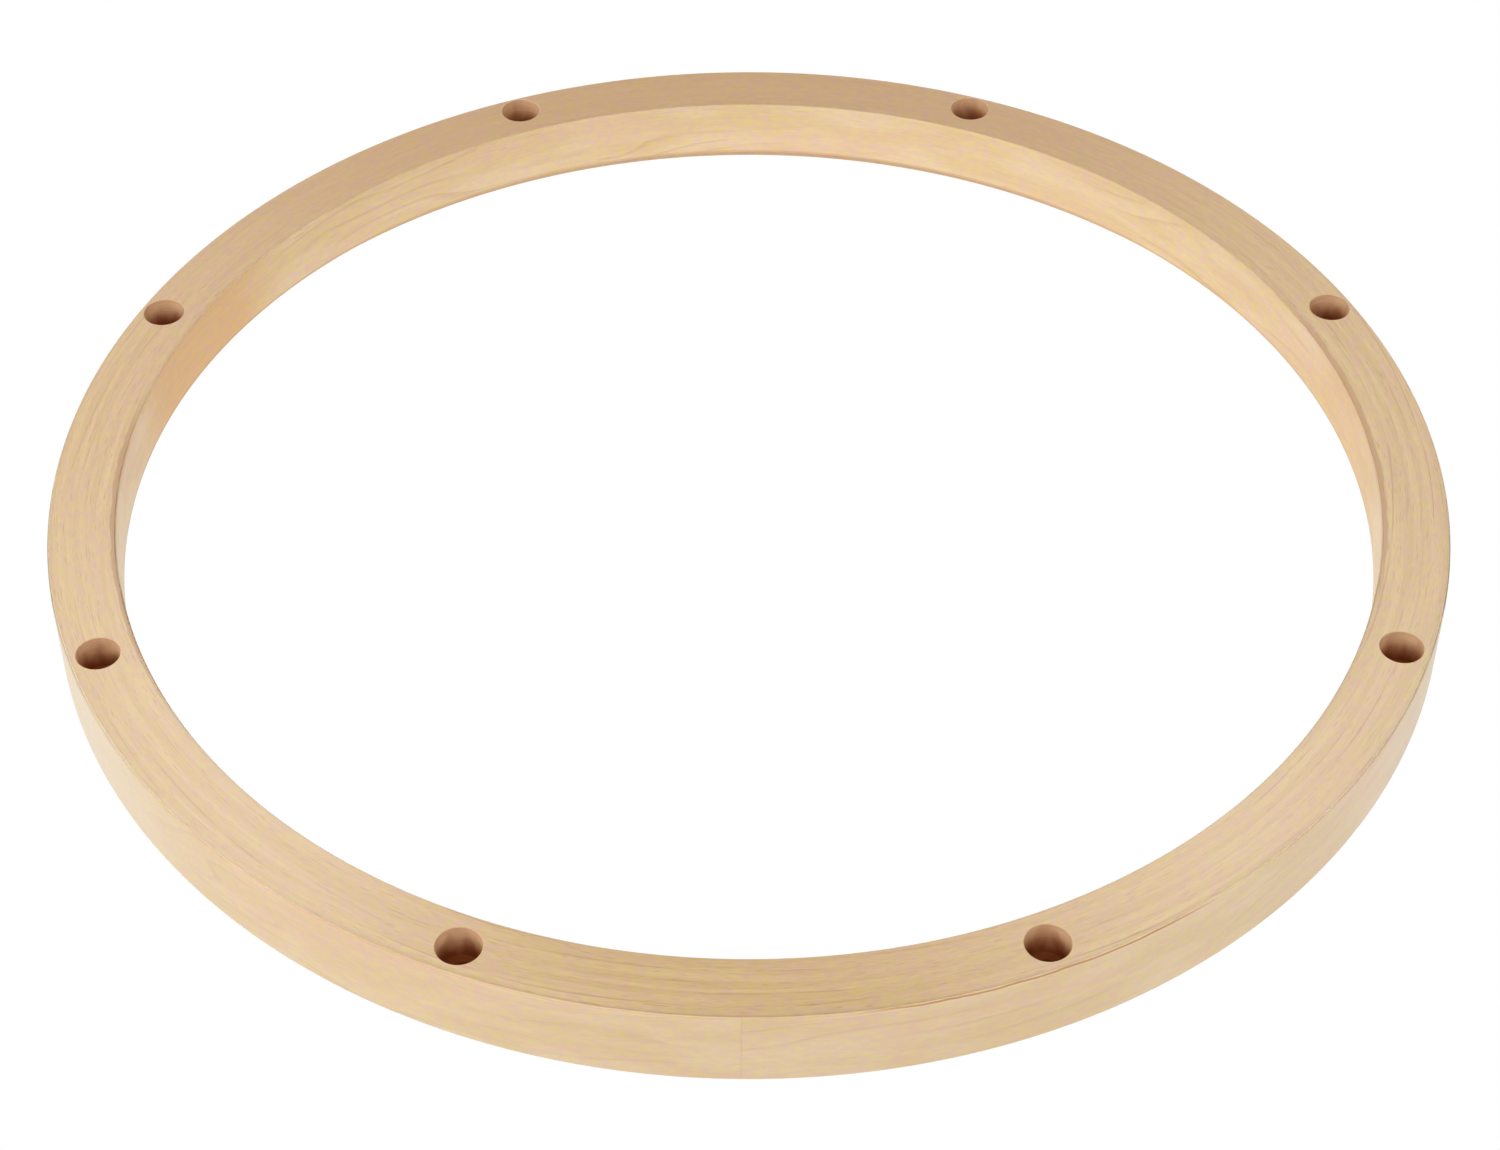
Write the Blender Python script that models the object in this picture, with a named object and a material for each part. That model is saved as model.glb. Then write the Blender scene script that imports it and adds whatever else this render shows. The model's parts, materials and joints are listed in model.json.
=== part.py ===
"""A wooden hoop for a 14-inch drum: maple strips bent into rings and glued one inside the other.

Seven thick core plies lie between two thin face veneers. Eight holes for tension rods pass through
the hoop's height, each counterbored from the top. A rebate under the inner edge takes the flesh hoop
of the drumhead. Each ply is one strip, bent until its ends meet in a butt joint, and the joints are
staggered from ply to ply. The rod holes are wider than the two plies that they pass through, so
drilling has parted each of those plies into eight arcs.

Metres, +Z up, with the origin at the centre of the underside.
"""

import math

import bmesh
import bpy
from mathutils import Matrix

INCH = 0.0254
MM = 0.001

# The laminate. Its inner diameter is the drum's size.
INNER_RADIUS = 14 * INCH / 2
WALL = 0.75 * INCH
OUTER_RADIUS = INNER_RADIUS + WALL
HEIGHT = 24.9 * MM
FACE_VENEER = INCH / 28
CORE_PLIES = 7
CORE_THICKNESS = (WALL - 2 * FACE_VENEER) / CORE_PLIES
GLUE_LINE = 0.1 * MM

# The two top edges are rounded over, and the foot of the outer face is eased.
TOP_ROUND = 2.5 * MM
FOOT_ROUND = 0.8 * MM

# The rebate: the inner veneer and the first core plies stop this far above the underside.
REBATE_CORE_PLIES = 2
REBATE_HEIGHT = 5.5 * MM

# The holes for the tension rods, with the first one half a pitch round from +X.
HOLE_COUNT = 8
HOLE_PITCH = math.tau / HOLE_COUNT
HOLE_CIRCLE_RADIUS = 188.8 * MM
COUNTERBORE_RADIUS = 5.95 * MM
COUNTERBORE_DEPTH = 10.4 * MM
ROD_HOLE_RADIUS = 3.5 * MM
CUTTER_OVERRUN = 3.0 * MM

# A ring's facets meet at the same angles in every ply, so neighbouring plies lie face to face.
FACETS_BETWEEN_HOLES = 8
RING_FACETS = FACETS_BETWEEN_HOLES * HOLE_COUNT
HOLE_FACETS = 20
ROUND_FACETS = 4
SHARP_EDGE_ANGLE = math.radians(35.0)

# The butt joints: the outer veneer's place, and the turn from each ply's joint to the next one's.
# Both are whole numbers of facets, counted from the middle of the first hole.
BUTT_JOINT = 0.2 * MM
OUTER_JOINT_FACET = 44
JOINT_TURN_FACETS = 23

# Name, colour and roughness of each wood.
OUTER_FACE = ("maple_outer_face", (0.66, 0.47, 0.28, 1.0), 0.42)
INNER_FACE = ("maple_inner_face", (0.70, 0.50, 0.31, 1.0), 0.42)
CORE = ("maple_core", (0.60, 0.42, 0.22, 1.0), 0.5)


def clear_scene():
    for obj in list(bpy.data.objects):
        bpy.data.objects.remove(obj)


def wood_material(name, colour, roughness):
    """A lacquered wood of one colour."""
    material = bpy.data.materials.new(name)
    material.use_nodes = True
    shader = material.node_tree.nodes["Principled BSDF"]
    shader.inputs["Base Color"].default_value = colour
    shader.inputs["Roughness"].default_value = roughness
    shader.inputs["Metallic"].default_value = 0.0
    return material


def rounding(from_edge, radius):
    """How far a rounded edge drops, this far in from the face that it ends at."""
    run = min(max(radius - from_edge, 0.0), radius)
    return radius - math.sqrt(radius**2 - run**2)


def top_height(radius):
    from_edge = min(radius - INNER_RADIUS, OUTER_RADIUS - radius)
    return HEIGHT - rounding(from_edge, TOP_ROUND)


def foot_height(radius):
    return rounding(OUTER_RADIUS - radius, FOOT_ROUND)


def arc_distances(radius):
    """Distances in from a face at which the facets of a rounded edge meet."""
    quarter = math.pi / 2
    return [radius * (1 - math.cos(quarter * step / ROUND_FACETS)) for step in range(ROUND_FACETS + 1)]


def stops_between(low, high, stops):
    """The two ends of a span, with the stops that lie inside it, in rising order."""
    return [low] + sorted(stop for stop in stops if low < stop < high) + [high]


def ply_span(number):
    """A ply's inner and outer radius. Ply 0 is the inner veneer, and the last is the outer one."""
    low = INNER_RADIUS
    if number > 0:
        low += FACE_VENEER + (number - 1) * CORE_THICKNESS + GLUE_LINE / 2
    high = OUTER_RADIUS
    if number <= CORE_PLIES:
        high = INNER_RADIUS + FACE_VENEER + number * CORE_THICKNESS - GLUE_LINE / 2
    return low, high


def ply_outline(number):
    """The section of a ply, as (radius, height) points round its edge."""
    low, high = ply_span(number)
    rounded_in = [INNER_RADIUS + distance for distance in arc_distances(TOP_ROUND)]
    rounded_out = [OUTER_RADIUS - distance for distance in arc_distances(TOP_ROUND)]
    top_radii = stops_between(low, high, rounded_in + rounded_out)
    top = [(radius, top_height(radius)) for radius in reversed(top_radii)]
    if number <= REBATE_CORE_PLIES:
        return [(low, REBATE_HEIGHT), (high, REBATE_HEIGHT)] + top
    eased = [OUTER_RADIUS - distance for distance in arc_distances(FOOT_ROUND)]
    foot = [(radius, foot_height(radius)) for radius in stops_between(low, high, eased)]
    return foot + top


def hole_angle(hole):
    """The angle of a rod hole from +X."""
    return (hole + 0.5) * HOLE_PITCH


def joint_angle(number):
    """Where a ply's two ends meet, as an angle from +X."""
    plies_from_outside = CORE_PLIES + 1 - number
    facet = OUTER_JOINT_FACET + plies_from_outside * JOINT_TURN_FACETS
    return hole_angle(0) + facet * math.tau / RING_FACETS


def bent_strip(outline, start, sweep, facets):
    """A closed mesh of the outline swept round +Z through part of a turn."""
    bm = bmesh.new()
    ring = [bm.verts.new((r * math.cos(start), r * math.sin(start), z)) for r, z in outline]
    edges = [bm.edges.new(pair) for pair in zip(ring, ring[1:] + ring[:1])]
    bmesh.ops.spin(
        bm,
        geom=ring + edges,
        cent=(0, 0, 0),
        axis=(0, 0, 1),
        angle=sweep,
        steps=facets,
    )
    open_ends = [edge for edge in bm.edges if edge.is_boundary]
    bmesh.ops.holes_fill(bm, edges=open_ends, sides=len(outline))
    bmesh.ops.recalc_face_normals(bm, faces=bm.faces)
    return bm


def new_object(name, bm):
    mesh = bpy.data.meshes.new(name)
    bm.to_mesh(mesh)
    bm.free()
    mesh.shade_smooth()
    mesh.set_sharp_from_angle(angle=SHARP_EDGE_ANGLE)
    obj = bpy.data.objects.new(name, mesh)
    bpy.context.scene.collection.objects.link(obj)
    return obj


def hole_cutter(name, radius, low, high):
    """One hidden cylinder for each rod hole, all in one mesh."""
    bm = bmesh.new()
    for hole in range(HOLE_COUNT):
        turn = Matrix.Rotation(hole_angle(hole), 4, "Z")
        place = Matrix.Translation((HOLE_CIRCLE_RADIUS, 0, (low + high) / 2))
        bmesh.ops.create_cone(
            bm,
            cap_ends=True,
            segments=HOLE_FACETS,
            radius1=radius,
            radius2=radius,
            depth=high - low,
            matrix=turn @ place,
        )
    cutter = new_object(name, bm)
    cutter.hide_render = True
    cutter.display_type = "WIRE"
    return cutter


def reached(number, hole_radius):
    """Whether holes of this radius touch the ply at all."""
    low, high = ply_span(number)
    return low < HOLE_CIRCLE_RADIUS + hole_radius and high > HOLE_CIRCLE_RADIUS - hole_radius


def parted(number):
    """Whether the rod holes are wide enough to part the ply."""
    low, high = ply_span(number)
    return low > HOLE_CIRCLE_RADIUS - ROD_HOLE_RADIUS and high < HOLE_CIRCLE_RADIUS + ROD_HOLE_RADIUS


def cut(obj, cutter):
    modifier = obj.modifiers.new(cutter.name, "BOOLEAN")
    modifier.operation = "DIFFERENCE"
    modifier.solver = "EXACT"
    modifier.object = cutter


def ply_name(number):
    if number == 0:
        return "inner_face_veneer"
    if number > CORE_PLIES:
        return "outer_face_veneer"
    return f"core_ply_{number}"


def whole_ring(number):
    """A ply in one piece, open only at its butt joint."""
    outline = ply_outline(number)
    half_joint = BUTT_JOINT / 2 / outline[0][0]
    start = joint_angle(number) + half_joint
    strip = bent_strip(outline, start, math.tau - 2 * half_joint, RING_FACETS)
    return [new_object(ply_name(number), strip)]


def ring_of_arcs(number):
    """A ply that the rod holes have parted: one arc from each hole to the next."""
    outline = ply_outline(number)
    arcs = []
    for hole in range(HOLE_COUNT):
        strip = bent_strip(outline, hole_angle(hole), HOLE_PITCH, FACETS_BETWEEN_HOLES)
        arcs.append(new_object(f"{ply_name(number)}_arc_{hole + 1}", strip))
    return arcs


def build_ply(number, material, cutters, parent):
    """One ply of the hoop, cut by its holes. Each cutter comes with the radius of its holes."""
    pieces = ring_of_arcs(number) if parted(number) else whole_ring(number)
    for piece in pieces:
        piece.data.materials.append(material)
        piece.parent = parent
        for cutter, hole_radius in cutters:
            if reached(number, hole_radius):
                cut(piece, cutter)


def main():
    clear_scene()
    hoop = bpy.data.objects.new("drum_hoop", None)
    bpy.context.scene.collection.objects.link(hoop)
    above = HEIGHT + CUTTER_OVERRUN
    counterbores = hole_cutter("counterbore_cutter", COUNTERBORE_RADIUS, HEIGHT - COUNTERBORE_DEPTH, above)
    rod_holes = hole_cutter("rod_hole_cutter", ROD_HOLE_RADIUS, -CUTTER_OVERRUN, above)
    cutters = [(counterbores, COUNTERBORE_RADIUS), (rod_holes, ROD_HOLE_RADIUS)]
    build_ply(0, wood_material(*INNER_FACE), cutters, hoop)
    core = wood_material(*CORE)
    for number in range(1, CORE_PLIES + 1):
        build_ply(number, core, cutters, hoop)
    build_ply(CORE_PLIES + 1, wood_material(*OUTER_FACE), cutters, hoop)


main()
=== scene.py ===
"""The looks of a laminated maple drum hoop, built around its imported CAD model."""

import json
import math
from typing import NamedTuple

import bmesh
import bpy
from mathutils import Matrix, Vector


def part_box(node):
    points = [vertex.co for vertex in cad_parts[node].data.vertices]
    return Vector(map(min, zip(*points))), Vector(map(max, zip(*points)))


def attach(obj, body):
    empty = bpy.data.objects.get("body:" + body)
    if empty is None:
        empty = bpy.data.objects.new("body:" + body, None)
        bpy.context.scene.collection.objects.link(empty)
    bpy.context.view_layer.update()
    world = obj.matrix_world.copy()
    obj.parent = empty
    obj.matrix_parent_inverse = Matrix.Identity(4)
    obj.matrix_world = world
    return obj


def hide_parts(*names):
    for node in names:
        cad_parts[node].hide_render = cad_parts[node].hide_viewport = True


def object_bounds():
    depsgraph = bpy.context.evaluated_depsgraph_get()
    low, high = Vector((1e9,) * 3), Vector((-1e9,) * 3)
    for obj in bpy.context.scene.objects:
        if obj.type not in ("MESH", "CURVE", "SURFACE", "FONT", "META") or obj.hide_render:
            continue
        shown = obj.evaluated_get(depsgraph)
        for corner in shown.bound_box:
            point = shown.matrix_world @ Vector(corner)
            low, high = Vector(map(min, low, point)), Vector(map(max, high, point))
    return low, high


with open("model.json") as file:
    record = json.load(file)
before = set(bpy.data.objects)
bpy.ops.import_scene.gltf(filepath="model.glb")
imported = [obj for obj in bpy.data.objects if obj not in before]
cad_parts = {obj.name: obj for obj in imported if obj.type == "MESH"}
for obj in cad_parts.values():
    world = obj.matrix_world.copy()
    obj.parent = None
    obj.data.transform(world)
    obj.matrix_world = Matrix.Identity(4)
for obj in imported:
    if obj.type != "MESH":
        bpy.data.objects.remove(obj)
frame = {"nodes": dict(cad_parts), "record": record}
cad_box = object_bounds()

MM = 0.001  # metres in a millimetre

# Plies that run right round: the CAD node of each, and the angle in degrees where its ends meet
WHOLE_PLIES = {
    "inner_face_veneer": 225.0,
    "core_ply_1": 95.6,
    "core_ply_2": 326.3,
    "core_ply_3": 196.9,
    "core_ply_6": 168.8,
    "core_ply_7": 39.4,
    "outer_face_veneer": 269.1,
}
# Plies that the rod holes part into arcs
PARTED_PLIES = ("core_ply_4", "core_ply_5")
ARCS = 8
# Every ply, from the inside out
PLY_ORDER = (
    "inner_face_veneer",
    "core_ply_1",
    "core_ply_2",
    "core_ply_3",
    "core_ply_4",
    "core_ply_5",
    "core_ply_6",
    "core_ply_7",
    "outer_face_veneer",
)

# Rod holes, turned and eased edges, and the gaps between plies
COUNTERBORE_RADIUS = 5.95 * MM
ROD_HOLE_RADIUS = 3.5 * MM
TOP_ROUND = 2.5 * MM
FOOT_ROUND = 0.8 * MM
REBATE_EASE = 0.3 * MM
MOUTH_EASE = 0.16 * MM
GLUE_GAP = 0.006 * MM
BUTT_GAP = 0.03 * MM

# Fineness of the meshes
RING_STEPS = 360
HOLE_STEPS = 72
ROUND_STOP = 0.25 * MM
FEWEST_ROUND_STEPS = 4
STOP_MARGIN = 0.02 * MM
CUTTER_OVER = 1.0 * MM
SHARP_EDGE = math.radians(28)
FLAT_FACE_WEIGHT = 90

# A rounded edge whose normal's z is above this counts as the top, and below it as the wall.
# The shading bends from one to the other over a little of that z.
TOP_SLOPE = 0.6
SLOPE_BEND = 0.04

# The studio: the light of its surround and of its floor, the floor's half width in metres,
# and how far it lies below the hoop
WORLD_LIGHT = 0.0
FLOOR_GLOW = 1.0
FLOOR_HALF = 8.0
FLOOR_DROP = 0.2 * MM

# Each square lamp's place and width in metres, and its power in watts
LAMPS = {
    "behind_left": ((-0.40, 0.91, 1.21), 0.4, 5.6),
    "behind_right": ((0.38, 0.91, 1.21), 0.4, 5.4),
    "front": ((0.0, -1.6, 1.0), 1.0, 10.3),
    "left": ((-1.2, -0.3, 0.8), 1.0, 9.2),
    "right": ((1.2, -0.3, 0.8), 1.0, 4.5),
    "above": ((0.0, -0.6, 1.6), 1.0, 3.0),
}

# The camera, from the photograph's perspective
LENS = 79.12
SENSOR = 36.0
NEAR_CLIP = 0.01
CAMERA_DISTANCE = 939.2 * MM
CAMERA_RISE = math.radians(43.54)
CAMERA_TURN = math.radians(-0.39)
CAMERA_TARGET = Vector((0.32 * MM, -16.84 * MM, 0.0))


# ---------------------------------------------------------------- sizes from the frame


def cad_nodes(ply):
    """The CAD nodes that make up one ply."""
    if ply in PARTED_PLIES:
        return [f"{ply}_arc_{number}" for number in range(1, ARCS + 1)]
    return [ply]


def reach(ply):
    """The nearest and furthest that a ply's CAD comes to the hoop's axis."""
    spans = [
        math.hypot(vertex.co.x, vertex.co.y)
        for node in cad_nodes(ply)
        for vertex in frame["nodes"][node].data.vertices
    ]
    return min(spans), max(spans)


def mount_place(name):
    """Where the record puts one of its mounts."""
    for mount in frame["record"]["mounts"]:
        if mount["name"] == name:
            return Vector(mount["pos_m"])
    raise KeyError(name)


def opening_box(name):
    """The two corners of one of the record's openings."""
    for opening in frame["record"]["physics"]["openings"]:
        if opening["name"] == name:
            low, high = opening["box_m"]
            return Vector(low), Vector(high)
    raise KeyError(name)


def hole_axis(number):
    """The point on the floor under one rod hole's axis."""
    low, high = opening_box(f"rod_hole_{number}")
    middle = (low + high) / 2
    return Vector((middle.x, middle.y, 0.0))


HEIGHT = cad_box[1].z
INNER_RADIUS = reach("inner_face_veneer")[0]
OUTER_RADIUS = reach("outer_face_veneer")[1]
CAD_GLUE = reach("core_ply_1")[0] - reach("inner_face_veneer")[1]
GLUE_RADII = [reach(ply)[1] + CAD_GLUE / 2 for ply in PLY_ORDER[:-1]]
REBATE_RADIUS = GLUE_RADII[PLY_ORDER.index("core_ply_2")]
REBATE_HEIGHT = mount_place("rebate_seat").z
HOLE_FLOOR = mount_place("rod_seat_1").z
HOLE_AXES = [hole_axis(number) for number in range(1, ARCS + 1)]


def ply_radii(ply):
    """The two radii that a ply lies between, a hair inside its glue lines."""
    place = PLY_ORDER.index(ply)
    radii = [INNER_RADIUS, *GLUE_RADII, OUTER_RADIUS]
    inner, outer = radii[place], radii[place + 1]
    if inner > INNER_RADIUS:
        inner += GLUE_GAP / 2
    if outer < OUTER_RADIUS:
        outer -= GLUE_GAP / 2
    return inner, outer


# ---------------------------------------------------------------- shape


def rounding(from_edge, radius):
    """How far a quarter-round has fallen, at a distance in from its edge."""
    run = min(max(radius - from_edge, 0.0), radius)
    return radius - math.sqrt(radius * radius - run * run)


def top_height(distance):
    """The height of the hoop's top at a distance from its axis."""
    fall = rounding(distance - INNER_RADIUS, TOP_ROUND)
    fall += rounding(OUTER_RADIUS - distance, TOP_ROUND)
    return HEIGHT - fall


def foot_height(distance):
    """The height of the hoop's underside at a distance from its axis."""
    if distance < REBATE_RADIUS:
        return REBATE_HEIGHT + rounding(distance - INNER_RADIUS, REBATE_EASE)
    lift = rounding(distance - REBATE_RADIUS, REBATE_EASE)
    return lift + rounding(OUTER_RADIUS - distance, FOOT_ROUND)


def rounded_stops(edge, inward, radius):
    """Distances from the axis at which a quarter-round gets its points, even in angle."""
    count = max(FEWEST_ROUND_STEPS, round(radius * math.pi / 2 / ROUND_STOP))
    turns = [math.pi / 2 * step / count for step in range(count + 1)]
    return [edge + inward * radius * (1 - math.cos(turn)) for turn in turns]


def stops_in(inner, outer, stops):
    """The two ends of a span, and the stops that lie properly inside it."""
    inside = sorted(stop for stop in stops if inner + STOP_MARGIN < stop < outer - STOP_MARGIN)
    return [inner, *inside, outer]


def ply_profile(inner, outer):
    """A ply's section as (distance, height) points, anticlockwise from the inner foot."""
    top_stops = rounded_stops(INNER_RADIUS, 1, TOP_ROUND)
    top_stops += rounded_stops(OUTER_RADIUS, -1, TOP_ROUND)
    foot_stops = rounded_stops(INNER_RADIUS, 1, REBATE_EASE)
    foot_stops += rounded_stops(REBATE_RADIUS, 1, REBATE_EASE)
    foot_stops += rounded_stops(OUTER_RADIUS, -1, FOOT_ROUND)
    foot = [(stop, foot_height(stop)) for stop in stops_in(inner, outer, foot_stops)]
    top = [(stop, top_height(stop)) for stop in stops_in(inner, outer, top_stops)]
    return foot + top[::-1]


def ringed_piece(name, rings, material_index=0):
    """A closed object: walls from each ring of points to the next, and a cap on each end."""
    mesh = bpy.data.meshes.new(name)
    build = bmesh.new()
    corners = [[build.verts.new(point) for point in ring] for ring in rings]
    for near, far in zip(corners, corners[1:]):
        for index in range(len(near)):
            after = (index + 1) % len(near)
            build.faces.new((near[index], near[after], far[after], far[index]))
    build.faces.new(corners[0][::-1])
    build.faces.new(corners[-1])
    bmesh.ops.recalc_face_normals(build, faces=build.faces)
    for face in build.faces:
        face.material_index = material_index
    build.to_mesh(mesh)
    build.free()
    piece = bpy.data.objects.new(name, mesh)
    bpy.context.scene.collection.objects.link(piece)
    return piece


def bent_strip(name, profile, start, turn, steps):
    """A closed strip whose section is swept round the axis from one angle through a turn."""
    rings = []
    for step in range(steps + 1):
        angle = start + turn * step / steps
        direction = Vector((math.cos(angle), math.sin(angle), 0.0))
        rings.append([direction * distance + Vector((0, 0, height)) for distance, height in profile])
    return ringed_piece(name, rings)


def hole_cutter(axis):
    """A stepped drill for one rod hole, with a slight ease at its two mouths."""
    mouth = MOUTH_EASE + CUTTER_OVER
    profile = [
        (ROD_HOLE_RADIUS + mouth, -CUTTER_OVER),
        (ROD_HOLE_RADIUS, MOUTH_EASE),
        (ROD_HOLE_RADIUS, HOLE_FLOOR),
        (COUNTERBORE_RADIUS, HOLE_FLOOR),
        (COUNTERBORE_RADIUS, HEIGHT - MOUTH_EASE),
        (COUNTERBORE_RADIUS + mouth, HEIGHT + CUTTER_OVER),
    ]
    turns = [math.tau * step / HOLE_STEPS for step in range(HOLE_STEPS)]
    rings = [
        [axis + Vector((radius * math.cos(turn), radius * math.sin(turn), height)) for turn in turns]
        for radius, height in profile
    ]
    return ringed_piece("hole_cutter", rings, material_index=1)


def apply_modifiers(piece):
    """Gives a piece the mesh that its modifiers make."""
    depsgraph = bpy.context.evaluated_depsgraph_get()
    made = bpy.data.meshes.new_from_object(piece.evaluated_get(depsgraph))
    piece.modifiers.clear()
    old, piece.data = piece.data, made
    bpy.data.meshes.remove(old)
    piece.data.name = piece.name


def drill(piece, axes, materials):
    """Drills rod holes into a piece. The holes' walls take the second material."""
    for material in materials:
        piece.data.materials.append(material)
    for axis in axes:
        cutter = hole_cutter(axis)
        for material in materials:
            cutter.data.materials.append(material)
        cut = piece.modifiers.new("drill", "BOOLEAN")
        cut.operation = "DIFFERENCE"
        cut.solver = "MANIFOLD"
        cut.object = cutter
        apply_modifiers(piece)
        bpy.data.objects.remove(cutter)


def finish_top(piece, material):
    """Gives a face veneer's top, as far as the steep part of its round, the look of the
    sanded edge, as its third material."""
    piece.data.materials.append(material)
    for face in piece.data.polygons:
        if face.material_index == 0 and face.normal.z > TOP_SLOPE:
            face.material_index = 2


def smooth(piece):
    """Smooth shading, with the true edges left sharp and the flat faces left flat."""
    piece.data.shade_smooth()
    piece.data.set_sharp_from_angle(angle=SHARP_EDGE)
    weigh = piece.modifiers.new("weigh_normals", "WEIGHTED_NORMAL")
    weigh.keep_sharp = True
    weigh.weight = FLAT_FACE_WEIGHT
    apply_modifiers(piece)


# ---------------------------------------------------------------- the maple's colours and patterns


def linear(red, green, blue):
    """A colour of 0 to 255 screen values, as the renderer counts light, by the sRGB formula."""
    parts = [value / 255 for value in (red, green, blue)]
    parts = [p / 12.92 if p <= 0.04045 else ((p + 0.055) / 1.055) ** 2.4 for p in parts]
    return (*parts, 1.0)


class Pattern(NamedTuple):
    """A soft pattern in the wood: its lumps' size in millimetres along, up and out, how much
    finer detail they have, and the noise values at which the pattern starts and is full."""

    size: tuple
    detail: float
    starts: float
    full: float


# Noise lies mostly between these values
NOISE_LOW = 0.3
NOISE_HIGH = 0.7

# The two face veneers
FACE_CLOUDS = Pattern(size=(30.0, 8.0, 9.0), detail=3.0, starts=0.36, full=0.64)
FACE_BLUSH = Pattern(size=(44.0, 12.0, 9.0), detail=2.0, starts=0.46, full=0.70)
FACE_FIGURE = Pattern(size=(60.0, 12.0, 20.0), detail=2.0, starts=0.42, full=0.66)
FACE_STREAKS = Pattern(size=(11.0, 0.6, 3.0), detail=1.0, starts=0.72, full=0.80)
FACE_FIBRES = (7.0, 0.32, 0.5)
FACE_FIBRE_DETAIL = 3.0
FACE_FIBRE_SHADE = (0.972, 1.025)
FACE_ROUGHNESS = (0.29, 0.36)
FACE_BUMP = 0.25
FACE_SHEEN = 0.2
FACE_WANDER = (105.0, 24.0, 30.0)
FACE_ONSET = 0.68
BLUSH_STRENGTH = 0.7
STREAK_STRENGTH = 0.4

# The shade at the foot of the inner wall: its strength, and the heights above the rebate's
# seat, in millimetres, that it fades between
FOOT_SHADE = 0.5
FOOT_SHADE_FADE = (0.7, 1.0)

# The sanded edge that every ply shows on top
EDGE_LIGHT = linear(228, 195, 143)
EDGE_WARM = linear(218, 183, 129)
EDGE_PINK = linear(222, 183, 140)
EDGE_LINE = linear(172, 112, 66)
# Painted shade on the back of the top, where less light falls: its colour, and its arc's middle, half
# width, fade and strength
EDGE_PAINTED_SHADE = linear(210, 170, 130)
EDGE_PAINTED_SHADE_ARCS = ((98.0, 30.0, 55.0, 0.75),)
EDGE_TONE = Pattern(size=(80.0, 30.0, 1.9), detail=2.0, starts=0.34, full=0.66)
EDGE_WARMTH = Pattern(size=(36.0, 30.0, 5.5), detail=1.0, starts=0.40, full=0.66)
EDGE_FIGURE = Pattern(size=(38.0, 20.0, 2.2), detail=2.0, starts=0.46, full=0.68)
EDGE_STROKES = Pattern(size=(6.5, 9.0, 0.26), detail=1.5, starts=0.61, full=0.75)
EDGE_FIBRES = (3.2, 2.0, 0.2)
EDGE_FIBRE_DETAIL = 4.0
EDGE_FIBRE_SHADE = (0.945, 1.05)
EDGE_ROUGHNESS = (0.37, 0.43)
EDGE_BUMP = 0.15
EDGE_GLOSS = 1.0
EDGE_SHEEN = 0.7
EDGE_SPACING = 3.4
EDGE_LEAN = 210.0
EDGE_WANDER = (150.0, 60.0, 16.0)
EDGE_SWAY = 3.0
EDGE_ONSET = 0.78
WARMTH_STRENGTH = 0.5
EDGE_FIGURE_STRENGTH = 0.45
STROKE_STRENGTH = 0.55
FIBRE_HEIGHT = 0.03 * MM

# The stretched sheen's rotation, in whole turns
QUARTER_TURN = 0.25

# Growth lines are darkest this far through their spacing, and wander with this much detail
LINE_PEAK = 0.95
WANDER_DETAIL = 1.5

# The pink and yellow flecks, which lie over every colour of the wood
MOTTLE = Pattern(size=(3.2, 2.0, 2.0), detail=3.0, starts=0.42, full=0.58)
YELLOW_TINT = (1.0, 1.02, 0.86, 1.0)
PINK_TINT = (1.0, 0.955, 1.05, 1.0)

# The veneer's glue line, in millimetres: how far it wavers, and how soft its edges are
STAIN_WAVER = Pattern(size=(7.0, 9.0, 9.0), detail=2.0, starts=NOISE_LOW, full=NOISE_HIGH)
STAIN_WAVER_REACH = 0.1
STAIN_SOFTNESS = 0.1

# The drilled holes' bare walls, and the painted shade that darkens them towards the hole's floor
BORE_LIGHT = linear(246, 206, 162)
BORE_PAINTED_SHADE = linear(164, 96, 54)
BORE_BLOTCH = Pattern(size=(4.0, 9.0, 4.0), detail=1.0, starts=NOISE_LOW, full=NOISE_HIGH)
BORE_BLOTCH_REACH = 1.3
BORE_RINGS = (9.0, 0.28, 9.0)
BORE_RING_DETAIL = 2.0
BORE_RING_SHADE = (0.93, 1.05)
BORE_ROUGHNESS = (0.62, 0.78)
BORE_BUMP = 0.4
BORE_RING_HEIGHT = 0.04 * MM
BORE_GLOSS = 0.1

# Where the shared grain of the sanded edges starts and ends, and the grain of what has no
# joint of its own, in degrees
BOARD_JOINT = 112.5
PLAIN_JOINT = 180.0

# A seed moves the noise by so many of its lumps along, up and out, so that no two patterns
# match. Each ply has its own run of seeds.
SEED_SHIFT = (7.31, 3.77, 5.13)
FIRST_SEED = 3
SEEDS_PER_PLY = 10
BORE_SEED = 61
STAIN_SEED = 90
EDGE_SEED = 200

# What differs between the two face veneers. Spacing and lean of the growth lines, and the
# depths of the stain below the top, are in millimetres. Each arc has a middle, a half width
# and a further width that it fades over, in degrees, and a strength. The painted light
# colour is laid on its arcs as painted light: a warm painted shade on the inner wall, a pale
# painted sheen on the outer. The painted edge light is how much paler the steep part of a
# rounded edge is painted, to stand in for light.
INNER_LOOK = {
    "light": linear(245, 217, 180),
    "warm": linear(239, 209, 163),
    "pink": linear(241, 205, 172),
    "line": linear(214, 171, 125),
    "spacing": 5.2,
    "lean": -74.0,
    "sway": (7.0, 7.0),
    "figure": 0.34,
    "gloss": 0.05,
    # painted light: how much paler the steep part of the rounded edge is painted
    "painted_edge_light": 1.06,
    # painted warm shade on the inner wall at the left and the right
    "painted_light": linear(238, 194, 144),
    "painted_light_arcs": ((158.0, 6.0, 9.0, 0.9), (8.0, 4.0, 9.0, 0.4)),
    "foot_shade": True,
    "stain": linear(192, 138, 84),
    "stain_depths": (0.25, 1.25),
    "stain_arcs": ((190.0, 12.0, 12.0, 0.6), (4.0, 14.0, 12.0, 0.55)),
}
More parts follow.
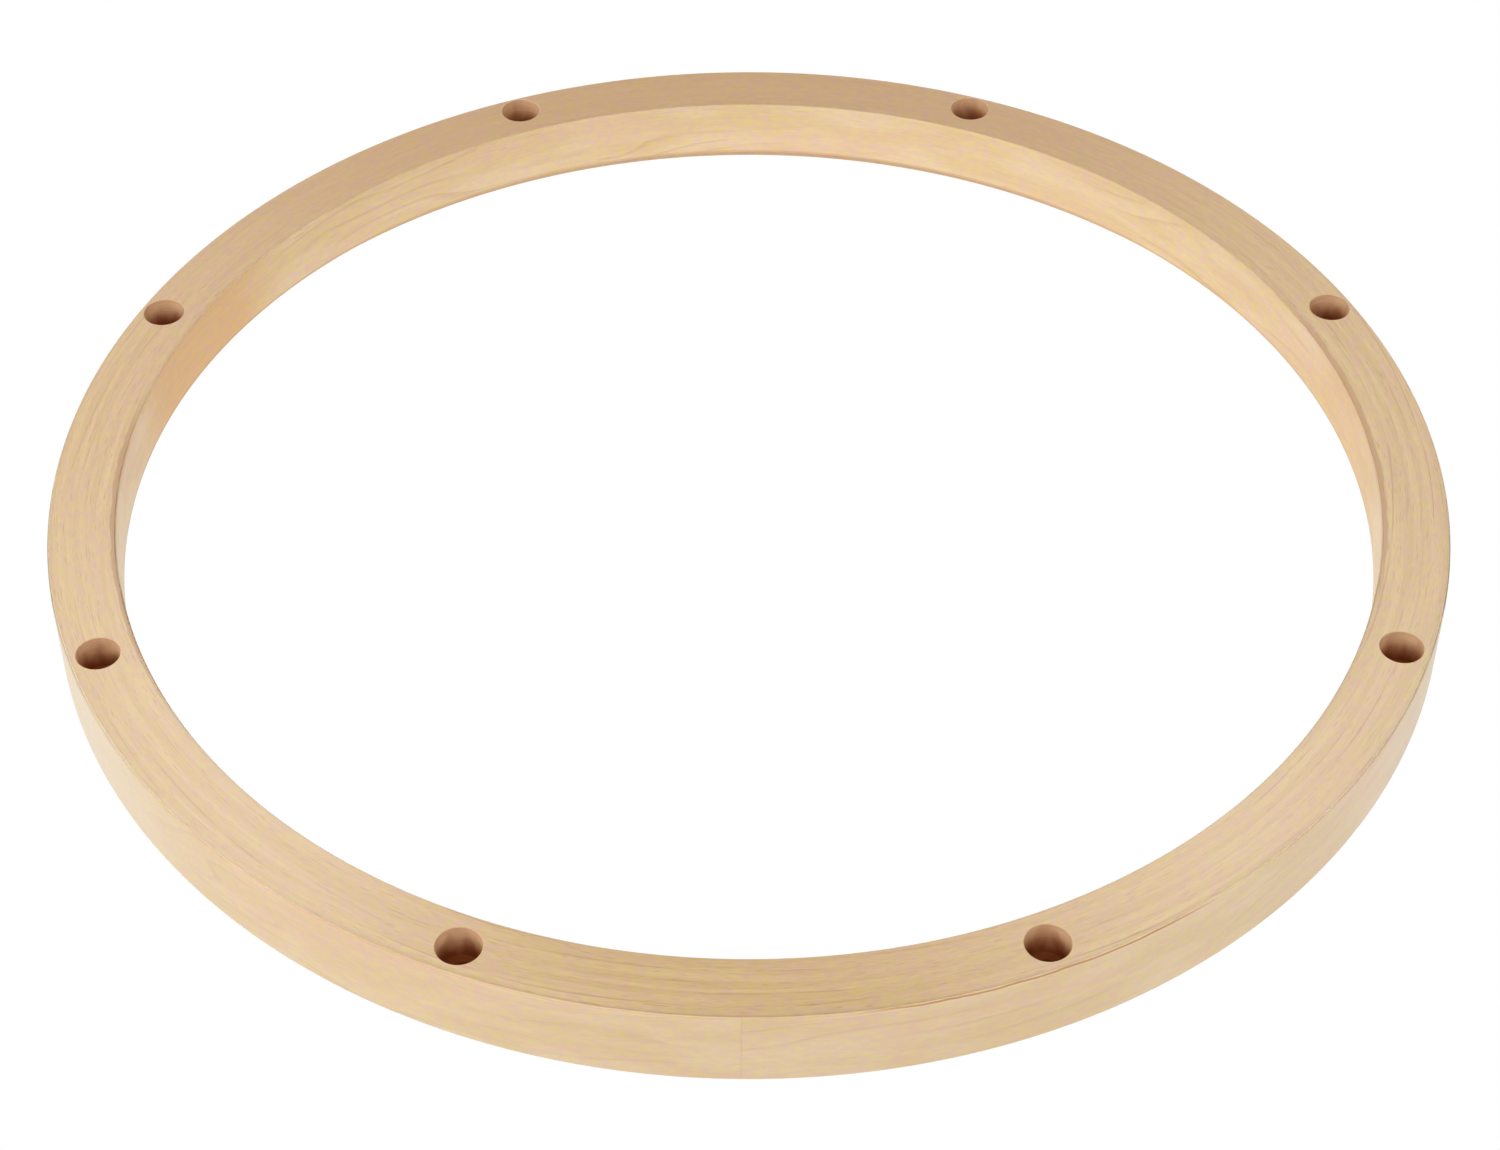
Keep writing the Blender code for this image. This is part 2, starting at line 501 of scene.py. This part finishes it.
OUTER_LOOK = {
    "light": linear(237, 208, 166),
    "warm": linear(231, 200, 151),
    "pink": linear(235, 195, 158),
    "line": linear(196, 152, 110),
    "spacing": 4.6,
    "lean": 60.0,
    "sway": (3.5, 8.0),
    "figure": 0.2,
    "gloss": 0.75,
    # painted light: how much paler the steep part of the rounded edge is painted
    "painted_edge_light": 1.24,
    # painted pale sheen on the outer wall at the front left
    "painted_light": linear(240, 218, 184),
    "painted_light_arcs": ((204.0, 4.0, 22.0, 0.7),),
    "foot_shade": False,
    "stain": linear(188, 128, 66),
    "stain_depths": (1.25, 1.6),
    "stain_arcs": ((291.5, 8.5, 9.0, 0.9), (262.0, 21.0, 9.0, 0.2)),
}
FACE_LOOKS = {"inner_face_veneer": INNER_LOOK, "outer_face_veneer": OUTER_LOOK}
STAINED_EDGES = {**FACE_LOOKS, "core_ply_1": INNER_LOOK}


# ---------------------------------------------------------------- materials


class Shader:
    """One material's nodes. Each method adds a node and gives back its output."""

    def __init__(self, name):
        self.material = bpy.data.materials.new(name)
        self.material.use_nodes = True
        self.tree = self.material.node_tree
        self.tree.nodes.clear()

    def add(self, kind, inputs=(), **settings):
        """A node with its settings, and its inputs linked or set, by name or number."""
        node = self.tree.nodes.new(kind)
        for name, value in settings.items():
            setattr(node, name, value)
        for key, value in dict(inputs).items():
            self.put(node.inputs[key], value)
        return node

    def put(self, socket, value):
        """Links an output to a socket, or sets the socket's own value."""
        if isinstance(value, bpy.types.NodeSocket):
            self.tree.links.new(value, socket)
        else:
            socket.default_value = value

    def math(self, operation, *values):
        """A number worked out from up to three others."""
        return self.add("ShaderNodeMath", enumerate(values), operation=operation).outputs[0]

    def vector(self, operation, *values):
        """A vector worked out from others."""
        return self.add("ShaderNodeVectorMath", enumerate(values), operation=operation).outputs[0]

    def joined(self, x, y, z):
        """A vector from three numbers."""
        return self.add("ShaderNodeCombineXYZ", {"X": x, "Y": y, "Z": z}).outputs[0]

    def split(self, vector):
        """The x, y and z of a vector, by the names X, Y and Z."""
        return self.add("ShaderNodeSeparateXYZ", {"Vector": vector}).outputs

    def place(self):
        """The point being shaded, in metres from the hoop's origin."""
        return self.add("ShaderNodeTexCoord").outputs["Object"]

    def facing(self):
        """The direction that the surface faces."""
        return self.add("ShaderNodeNewGeometry").outputs["Normal"]

    def turned_place(self, start):
        """The x, y and z of the point being shaded, with the hoop turned so that a starting
        angle lies along x."""
        inputs = {"Vector": self.place(), "Angle": -math.radians(start)}
        turned = self.add("ShaderNodeVectorRotate", inputs, rotation_type="Z_AXIS").outputs[0]
        return self.split(turned)

    def turn_from(self, start):
        """Degrees round the hoop from a starting angle, -180 to 180."""
        parts = self.turned_place(start)
        return self.math("DEGREES", self.math("ARCTAN2", parts["Y"], parts["X"]))

    def grain(self, joint, radius):
        """Millimetres along the bent strip, up its height, and out through its thickness.
        The strip starts and ends at its butt joint."""
        parts = self.turned_place(joint - 180.0)
        angle = self.math("ARCTAN2", parts["Y"], parts["X"])
        along = self.math("MULTIPLY", angle, radius / MM)
        flat = self.joined(parts["X"], parts["Y"], 0.0)
        out = self.add("ShaderNodeVectorMath", {0: flat}, operation="LENGTH").outputs["Value"]
        out = self.math("DIVIDE", out, MM)
        up = self.math("DIVIDE", parts["Z"], MM)
        return along, up, out

    def noise(self, grain, size, seed, detail):
        """Soft noise, 0 to 1, whose lumps are about size millimetres along, up and out."""
        scaled = self.vector("DIVIDE", self.joined(*grain), size)
        moved = self.vector("ADD", scaled, tuple(seed * shift for shift in SEED_SHIFT))
        inputs = {"Vector": moved, "Scale": 1.0, "Detail": detail, "Distortion": 0.0}
        return self.add("ShaderNodeTexNoise", inputs).outputs["Fac"]

    def between(self, value, low, high, to_low=0.0, to_high=1.0):
        """A value's place between two limits, eased and held inside them."""
        inputs = {"Value": value, 1: low, 2: high, 3: to_low, 4: to_high}
        return self.add("ShaderNodeMapRange", inputs, interpolation_type="SMOOTHSTEP").outputs[0]

    def pattern(self, grain, pattern, seed, to_low=0.0, to_high=1.0):
        """How strongly one of the wood's soft patterns shows."""
        noise = self.noise(grain, pattern.size, seed, pattern.detail)
        return self.between(noise, pattern.starts, pattern.full, to_low, to_high)

    def inside(self, value, low, high, soft):
        """1 between two limits, easing to 0 over a soft margin outside each."""
        rise = self.between(value, low - soft, low)
        fall = self.between(value, high, high + soft, 1.0, 0.0)
        return self.math("MULTIPLY", rise, fall)

    def mix(self, factor, first, second, blend="MIX"):
        """One colour laid over another. The Mix node's colour sockets go by number, since its
        number and vector sockets have the same names."""
        node = self.add("ShaderNodeMix", data_type="RGBA", blend_type=blend)
        self.put(node.inputs[0], factor)
        self.put(node.inputs[6], first)
        self.put(node.inputs[7], second)
        return node.outputs[2]

    def tinted(self, factor, first, second, strength=1.0):
        """A second colour laid over the first, as far as the factor and a strength say."""
        return self.mix(self.math("MULTIPLY", factor, strength), first, second)

    def shaded(self, colour, gain):
        """A colour made darker or paler by a number."""
        return self.mix(1.0, colour, self.joined(gain, gain, gain), blend="MULTIPLY")

    def eased(self):
        """The surface's direction, with a rounded edge shaded like the flat top as far as
        its steep part, and like the upright wall below that."""
        parts = self.split(self.facing())
        level = self.between(parts["Z"], TOP_SLOPE - SLOPE_BEND, TOP_SLOPE)
        upright = self.math("SUBTRACT", 1.0, level)
        x = self.math("MULTIPLY", parts["X"], upright)
        y = self.math("MULTIPLY", parts["Y"], upright)
        z = self.math("ADD", level, self.math("MINIMUM", parts["Z"], 0.0))
        return self.vector("NORMALIZE", self.joined(x, y, z))

    def bump(self, height, strength, distance, facing):
        """A surface direction pushed about by a height."""
        inputs = {"Height": height, "Strength": strength, "Distance": distance, "Normal": facing}
        return self.add("ShaderNodeBump", inputs).outputs[0]

    def finish(self, colour, roughness, normal, gloss, sheen):
        """The wood's surface under its thin clear finish. The sheen is stretched along the
        hoop's tangent, turned by a quarter so that it spreads across the fibres."""
        round_the_hoop = self.vector("CROSS_PRODUCT", (0.0, 0.0, 1.0), self.place())
        inputs = {
            "Base Color": colour,
            "Roughness": roughness,
            "Normal": normal,
            "Specular IOR Level": gloss,
            "Anisotropic": sheen,
            "Anisotropic Rotation": QUARTER_TURN,
            "Tangent": self.vector("NORMALIZE", round_the_hoop),
        }
        surface = self.add("ShaderNodeBsdfPrincipled", inputs).outputs[0]
        self.add("ShaderNodeOutputMaterial", {"Surface": surface})
        self.material.cycles.use_bump_map_correction = False
        return self.material


def growth_lines(shader, across, grain, spacing, lean, wander, sway, onset, seed):
    """Growth rings cut at a slant: a line that darkens and ends at once, every so many
    millimetres across. It climbs by one spacing in each lean of length, and sways slowly."""
    along = grain[0]
    slow = shader.noise(grain, wander, seed, WANDER_DETAIL)
    count = shader.math("MULTIPLY", slow, sway)
    count = shader.math("ADD", count, shader.math("DIVIDE", across, spacing))
    count = shader.math("SUBTRACT", count, shader.math("DIVIDE", along, lean))
    within = shader.math("FRACT", count)
    rise = shader.between(within, onset, LINE_PEAK)
    fall = shader.between(within, LINE_PEAK, 1.0, 1.0, 0.0)
    return shader.math("MULTIPLY", rise, fall)


def mottled(shader, colour, grain, seed):
    """A colour broken into faint pink and yellow flecks a few millimetres across."""
    tint = shader.mix(shader.pattern(grain, MOTTLE, seed), YELLOW_TINT, PINK_TINT)
    return shader.mix(1.0, colour, tint, blend="MULTIPLY")


def on_arcs(shader, arcs):
    """How strongly something shows on some arcs of the hoop."""
    shown = 0.0
    for middle, half, fade, strength in arcs:
        turn = shader.math("ABSOLUTE", shader.turn_from(middle))
        here = shader.between(turn, half, half + fade, strength, 0.0)
        shown = shader.math("MAXIMUM", shown, here)
    return shown


def stained(shader, colour, up, look):
    """A colour with the veneer's wavering brown line over it, between two depths below the
    top, on some arcs of the hoop."""
    shallow, deep = look["stain_depths"]
    place = shader.grain(PLAIN_JOINT, OUTER_RADIUS)
    waver = shader.pattern(place, STAIN_WAVER, STAIN_SEED, -STAIN_WAVER_REACH, STAIN_WAVER_REACH)
    depth = shader.math("SUBTRACT", HEIGHT / MM, shader.math("ADD", up, waver))
    line = shader.inside(depth, shallow, deep, STAIN_SOFTNESS)
    shown = on_arcs(shader, look["stain_arcs"])
    return shader.mix(shader.math("MULTIPLY", line, shown), colour, look["stain"])


def with_painted_edge_light(shader, colour, look):
    """A colour made paler on the steep part of a rounded edge: painted light that makes up for the
    shade the bent shading normal leaves there.
    """
    slope = shader.split(shader.facing())["Z"]
    return shader.shaded(colour, shader.between(slope, 0.0, TOP_SLOPE, 1.0, look["painted_edge_light"]))


def foot_shaded(shader, colour, up, look):
    """A colour darkened just above the rebate's seat."""
    low, high = (REBATE_HEIGHT / MM + height for height in FOOT_SHADE_FADE)
    return shader.mix(shader.between(up, low, high, FOOT_SHADE, 0.0), colour, look["line"])


def maple_face(name, joint, radius, seed, look):
    """A face veneer of maple: pale, with slow pink and yellow clouds, arched growth
    lines, fine fibres, and a few brown streaks."""
    shader = Shader(name)
    grain = shader.grain(joint, radius)
    along, up, _ = grain
    clouds = shader.pattern(grain, FACE_CLOUDS, seed)
    blush = shader.pattern(grain, FACE_BLUSH, seed + 1)
    sway = shader.between(along, -radius / MM, radius / MM, *look["sway"])
    lines = growth_lines(
        shader, up, grain, look["spacing"], look["lean"], FACE_WANDER, sway, FACE_ONSET, seed + 2
    )
    figure = shader.pattern(grain, FACE_FIGURE, seed + 3, 0.0, look["figure"])
    fibres = shader.noise(grain, FACE_FIBRES, seed + 4, FACE_FIBRE_DETAIL)
    streaks = shader.pattern(grain, FACE_STREAKS, seed + 5)
    colour = shader.mix(clouds, look["light"], look["warm"])
    colour = shader.tinted(blush, colour, look["pink"], BLUSH_STRENGTH)
    colour = shader.tinted(lines, colour, look["line"], figure)
    colour = shader.tinted(streaks, colour, look["line"], STREAK_STRENGTH)
    # Painted light on some arcs: a painted warm shade on the inner veneer, a painted pale sheen on the
    # outer
    colour = shader.mix(on_arcs(shader, look["painted_light_arcs"]), colour, look["painted_light"])
    colour = mottled(shader, colour, grain, seed + 6)
    colour = shader.shaded(colour, shader.between(fibres, NOISE_LOW, NOISE_HIGH, *FACE_FIBRE_SHADE))
    colour = stained(shader, colour, up, look)
    # Painted light: the steep part of the rounded edge is painted paler
    colour = with_painted_edge_light(shader, colour, look)
    if look["foot_shade"]:
        colour = foot_shaded(shader, colour, up, look)
    roughness = shader.between(fibres, NOISE_LOW, NOISE_HIGH, *FACE_ROUGHNESS)
    normal = shader.bump(fibres, FACE_BUMP, FIBRE_HEIGHT, shader.eased())
    return shader.finish(colour, roughness, normal, look["gloss"], FACE_SHEEN)


def maple_edge(name, joint, radius, seed, look=None):
    """The sanded edge of a maple ply: fine short fibres of its own, and the long low
    streaks, thin brown strokes and growth lines that run on from ply to ply. A ply that a
    face veneer's brown line reaches is given that veneer's look."""
    shader = Shader(name)
    own = shader.grain(joint, radius)
    shared = shader.grain(BOARD_JOINT, OUTER_RADIUS)
    up, out = own[1:]
    tone = shader.pattern(shared, EDGE_TONE, EDGE_SEED)
    warmth = shader.pattern(shared, EDGE_WARMTH, EDGE_SEED + 1)
    lines = growth_lines(
        shader, out, shared, EDGE_SPACING, EDGE_LEAN, EDGE_WANDER, EDGE_SWAY, EDGE_ONSET, EDGE_SEED + 2
    )
    figure = shader.pattern(shared, EDGE_FIGURE, EDGE_SEED + 3, 0.0, EDGE_FIGURE_STRENGTH)
    strokes = shader.pattern(shared, EDGE_STROKES, EDGE_SEED + 4, 0.0, STROKE_STRENGTH)
    fibres = shader.noise(own, EDGE_FIBRES, seed + 4, EDGE_FIBRE_DETAIL)
    colour = shader.mix(tone, EDGE_LIGHT, EDGE_WARM)
    colour = shader.tinted(warmth, colour, EDGE_PINK, WARMTH_STRENGTH)
    colour = shader.tinted(lines, colour, EDGE_LINE, figure)
    colour = shader.mix(strokes, colour, EDGE_LINE)
    # Painted shade: the back of the top is painted darker
    colour = shader.mix(on_arcs(shader, EDGE_PAINTED_SHADE_ARCS), colour, EDGE_PAINTED_SHADE)
    colour = mottled(shader, colour, shared, EDGE_SEED + 5)
    colour = shader.shaded(colour, shader.between(fibres, NOISE_LOW, NOISE_HIGH, *EDGE_FIBRE_SHADE))
    if look:
        colour = stained(shader, colour, up, look)
    roughness = shader.between(fibres, NOISE_LOW, NOISE_HIGH, *EDGE_ROUGHNESS)
    normal = shader.bump(fibres, EDGE_BUMP, FIBRE_HEIGHT, shader.eased())
    return shader.finish(colour, roughness, normal, EDGE_GLOSS, EDGE_SHEEN)


def maple_bore(name, seed):
    """The bare wall of a drilled hole: dry and pinkish, darkened towards its floor by painted shade,
    with the drill's faint rings."""
    shader = Shader(name)
    grain = shader.grain(PLAIN_JOINT, OUTER_RADIUS)
    blotch = shader.pattern(grain, BORE_BLOTCH, seed, -BORE_BLOTCH_REACH, BORE_BLOTCH_REACH)
    level = shader.math("ADD", grain[1], blotch)
    height = shader.between(level, HOLE_FLOOR / MM, HEIGHT / MM)
    rings = shader.noise(grain, BORE_RINGS, seed + 1, BORE_RING_DETAIL)
    # Painted shade: the wall darkens from its pale mouth down towards the hole's floor
    colour = shader.mix(height, BORE_PAINTED_SHADE, BORE_LIGHT)
    colour = shader.shaded(colour, shader.between(rings, NOISE_LOW, NOISE_HIGH, *BORE_RING_SHADE))
    roughness = shader.between(rings, NOISE_LOW, NOISE_HIGH, *BORE_ROUGHNESS)
    normal = shader.bump(rings, BORE_BUMP, BORE_RING_HEIGHT, shader.facing())
    return shader.finish(colour, roughness, normal, BORE_GLOSS, 0.0)


# ---------------------------------------------------------------- pieces


def place_piece(piece, node):
    """Hangs a finished piece under the root body, and hides the CAD node that it stands for."""
    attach(piece, "root")
    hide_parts(node)


def whole_ply(ply, materials, edge=None):
    """A ply that runs right round: one strip, its two ends a hairline apart. A face
    veneer is given an edge material too, for its top."""
    inner, outer = ply_radii(ply)
    half_gap = BUTT_GAP / 2 / outer
    start = math.radians(WHOLE_PLIES[ply]) + half_gap
    profile = ply_profile(inner, outer)
    piece = bent_strip(f"{ply}_look", profile, start, math.tau - 2 * half_gap, RING_STEPS)
    drill(piece, HOLE_AXES, materials)
    if edge:
        finish_top(piece, edge)
    smooth(piece)
    place_piece(piece, ply)


def parted_ply(ply, materials):
    """A ply that the holes part into arcs, each from one hole to the next."""
    inner, outer = ply_radii(ply)
    profile = ply_profile(inner, outer)
    turn = math.tau / ARCS
    for node in cad_nodes(ply):
        low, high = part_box(node)
        middle = arc_angle(low + high)
        arc = bent_strip(f"{node}_look", profile, middle - turn / 2, turn, RING_STEPS // ARCS)
        ends = [axis for axis in HOLE_AXES if ends_arc(arc_angle(axis), middle, turn)]
        drill(arc, ends, materials)
        smooth(arc)
        place_piece(arc, node)


def arc_angle(point):
    """A point's direction from the hoop's axis."""
    return math.atan2(point.y, point.x)


def ends_arc(angle, middle, turn):
    """Whether a hole at this angle is at one end of the arc about a middle angle. Such a
    hole is half the arc's turn from the middle, and the next hole is three halves."""
    apart = abs((angle - middle + math.pi) % math.tau - math.pi)
    return apart < turn


def build_hoop():
    """Every ply, in the finish that its place in the hoop gives it."""
    bore = maple_bore("maple_bore", BORE_SEED)
    for place, ply in enumerate(PLY_ORDER):
        joint = WHOLE_PLIES.get(ply, PLAIN_JOINT)
        radius = ply_radii(ply)[1]
        seed = SEEDS_PER_PLY * place + FIRST_SEED
        edge = maple_edge(f"maple_{ply}_edge", joint, radius, seed, STAINED_EDGES.get(ply))
        if ply in FACE_LOOKS:
            surface = maple_face(f"maple_{ply}", joint, radius, seed, FACE_LOOKS[ply])
            whole_ply(ply, (surface, bore), edge)
        elif ply in PARTED_PLIES:
            parted_ply(ply, (edge, bore))
        else:
            whole_ply(ply, (edge, bore))


# ---------------------------------------------------------------- studio


def build_floor():
    """A glowing white floor, as bright as the studio's, that can be looked through from
    below."""
    corners = [(-1, -1), (1, -1), (1, 1), (-1, 1)]
    points = [(x * FLOOR_HALF, y * FLOOR_HALF, -FLOOR_DROP) for x, y in corners]
    mesh = bpy.data.meshes.new("floor")
    mesh.from_pydata(points, [], [(0, 1, 2, 3)])
    floor = bpy.data.objects.new("floor", mesh)
    bpy.context.scene.collection.objects.link(floor)
    shader = Shader("floor_white")
    glow = shader.add(
        "ShaderNodeEmission", {"Color": (1.0, 1.0, 1.0, 1.0), "Strength": FLOOR_GLOW}
    ).outputs[0]
    clear = shader.add("ShaderNodeBsdfTransparent").outputs[0]
    behind = shader.add("ShaderNodeNewGeometry").outputs["Backfacing"]
    surface = shader.add("ShaderNodeMixShader", {0: behind, 1: glow, 2: clear}).outputs[0]
    shader.add("ShaderNodeOutputMaterial", {"Surface": surface})
    floor.data.materials.append(shader.material)


def build_world():
    """A surround that adds no light of its own to the lamps' and the floor's."""
    world = bpy.data.worlds.new("studio")
    world.use_nodes = True
    background = world.node_tree.nodes["Background"]
    background.inputs["Strength"].default_value = WORLD_LIGHT
    bpy.context.scene.world = world


def soft_box(name, place, size, power):
    """A square lamp that faces the hoop."""
    data = bpy.data.lights.new(name, "AREA")
    data.size = size
    data.energy = power
    lamp = bpy.data.objects.new(name, data)
    lamp.location = place
    lamp.rotation_mode = "QUATERNION"
    lamp.rotation_quaternion = (-Vector(place)).to_track_quat("-Z", "Y")
    bpy.context.scene.collection.objects.link(lamp)


def build_lights():
    """Two small lamps behind, whose reflections lie on the front left and front right of
    the top, and large soft ones in front, at the sides and above."""
    for name, (place, size, power) in LAMPS.items():
        soft_box(name, place, size, power)


def build_camera():
    """The photograph's viewpoint: in front and well above, looking down at the hoop."""
    data = bpy.data.cameras.new("camera")
    data.lens = LENS
    data.sensor_width = SENSOR
    data.clip_start = NEAR_CLIP
    camera = bpy.data.objects.new("camera", data)
    back = Vector((0.0, -math.cos(CAMERA_RISE), math.sin(CAMERA_RISE)))
    turn = Matrix.Rotation(CAMERA_TURN, 3, "Z")
    camera.location = turn @ (CAMERA_TARGET + back * CAMERA_DISTANCE)
    camera.rotation_mode = "QUATERNION"
    camera.rotation_quaternion = (turn @ -back).to_track_quat("-Z", "Y")
    bpy.context.scene.collection.objects.link(camera)
    bpy.context.scene.camera = camera


build_hoop()
build_floor()
build_world()
build_lights()
build_camera()
bpy.context.scene.view_settings.view_transform = "Standard"
